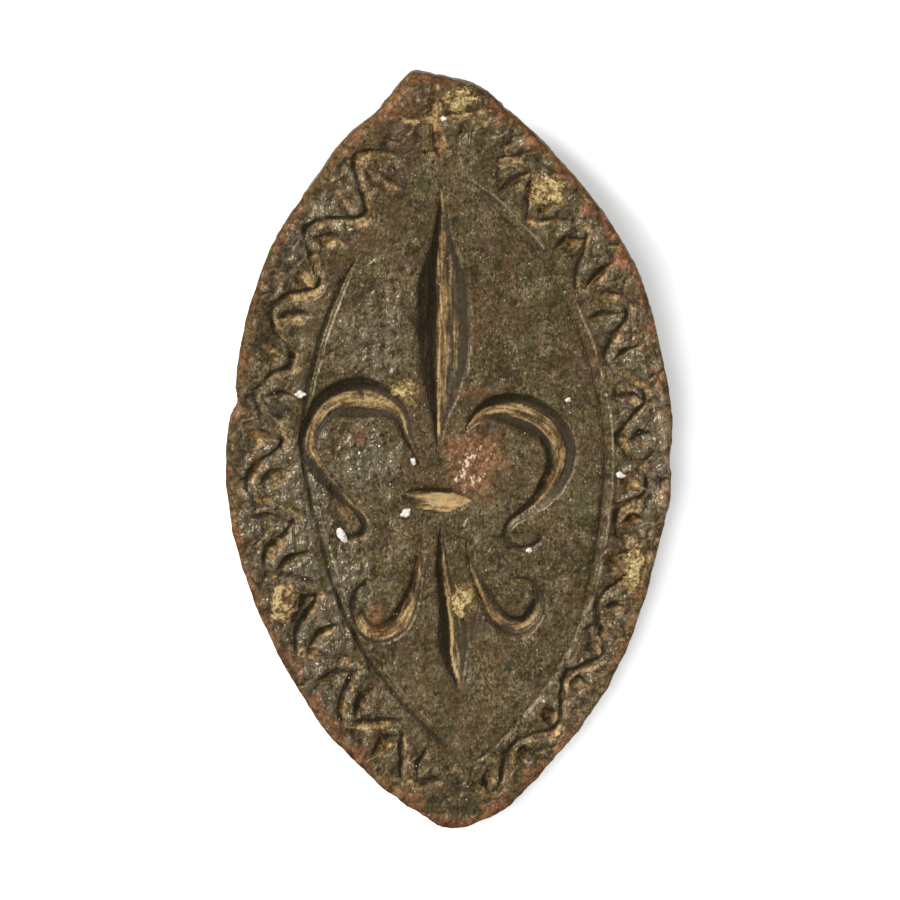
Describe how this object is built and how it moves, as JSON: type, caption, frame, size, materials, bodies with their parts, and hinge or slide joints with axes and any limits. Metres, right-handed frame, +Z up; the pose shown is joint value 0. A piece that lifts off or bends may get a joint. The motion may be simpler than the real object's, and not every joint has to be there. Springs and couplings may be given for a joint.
{
  "type": "seal matrix",
  "caption": "Pointed oval seal matrix with an engraved lily and scroll border, a ridge and a pierced suspension lug on its back.",
  "frame": {"origin": "on the table, under the middle of the whole as it lies face up", "axes": "+Z up from the table, +Y along the die towards the pointed end with the cross, +X to the right of the lily seen from above"},
  "size_m": [0.0234, 0.0398, 0.0077],
  "materials": {
    "die_metal": "olive-brown patina with a red-brown worn rim",
    "back_metal": "dull olive-brown patina",
    "lug_metal": "dull brown patina, worn bright in the eye",
    "solder": "dull grey tin solder",
    "earth": "dry, grainy",
    "lime": "chalky"
  },
  "bodies": {
    "root": {"die_plate": "die_metal", "handle_ridge": "back_metal", "suspension_lug": "lug_metal", "solder_fillet_right": "solder", "solder_fillet_left": "solder", "earth_crust_apex": "earth", "earth_crust_shoulder": "earth", "earth_crust_petal": "earth", "earth_crust_tail": "earth", "earth_crust_flank": "earth", "earth_plug": "earth", "lime_speck_1": "lime", "lime_speck_2": "lime", "lime_speck_3": "lime", "lime_speck_4": "lime", "lime_speck_5": "lime", "lime_speck_6": "lime", "lime_speck_7": "lime", "lime_speck_8": "lime"}
  },
  "joints": []
}
